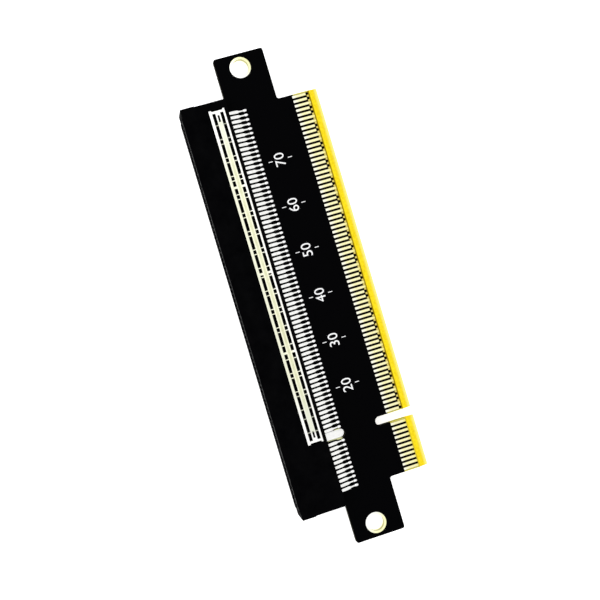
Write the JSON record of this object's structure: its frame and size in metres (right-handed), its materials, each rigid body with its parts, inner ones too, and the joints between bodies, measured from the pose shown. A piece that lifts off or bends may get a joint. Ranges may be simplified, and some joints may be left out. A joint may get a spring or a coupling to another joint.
{
  "type": "pcie riser card",
  "caption": "Flat straight-through riser card: black circuit board with gold edge fingers on one side, an edge-mounted card slot on the other and a plated hole in each end ear.",
  "frame": {"origin": "middle of the card's outline seen from above, on the plane of the slot housing's underside", "axes": "+X along the contact rows from contact 1 to the last contact, +Y from the gold edge to the mouth of the slot, +Z out of the front face of the level board"},
  "size_m": [0.107, 0.0298, 0.0076],
  "materials": {
    "board_mask": "satin black solder mask on a glass-epoxy laminate",
    "gold_plating": "bright gold plate",
    "housing_plastic": "fine matt black moulding",
    "insert_plastic": "matt black moulding",
    "contact_metal": "bright tinned copper alloy",
    "bar_metal": "bright plated sheet"
  },
  "bodies": {
    "root": {"circuit_board": "board_mask", "contact_insert_back_long": "insert_plastic", "contact_insert_back_short": "insert_plastic", "contact_insert_front_long": "insert_plastic", "contact_insert_front_short": "insert_plastic", "contacts_back_ground": "contact_metal", "contacts_back_power": "contact_metal", "contacts_back_signal": "contact_metal", "contacts_front_ground": "contact_metal", "contacts_front_power": "contact_metal", "contacts_front_signal": "contact_metal", "edge_fingers_back_ground": "gold_plating", "edge_fingers_back_power": "gold_plating", "edge_fingers_back_signal": "gold_plating", "edge_fingers_front_ground": "gold_plating", "edge_fingers_front_power": "gold_plating", "edge_fingers_front_signal": "gold_plating", "ground_bar_back": "bar_metal", "ground_bar_fingers_back": "bar_metal", "ground_bar_fingers_front": "bar_metal", "ground_bar_front": "bar_metal", "hole_plating": "gold_plating", "slot_housing": "housing_plastic"}
  },
  "joints": []
}
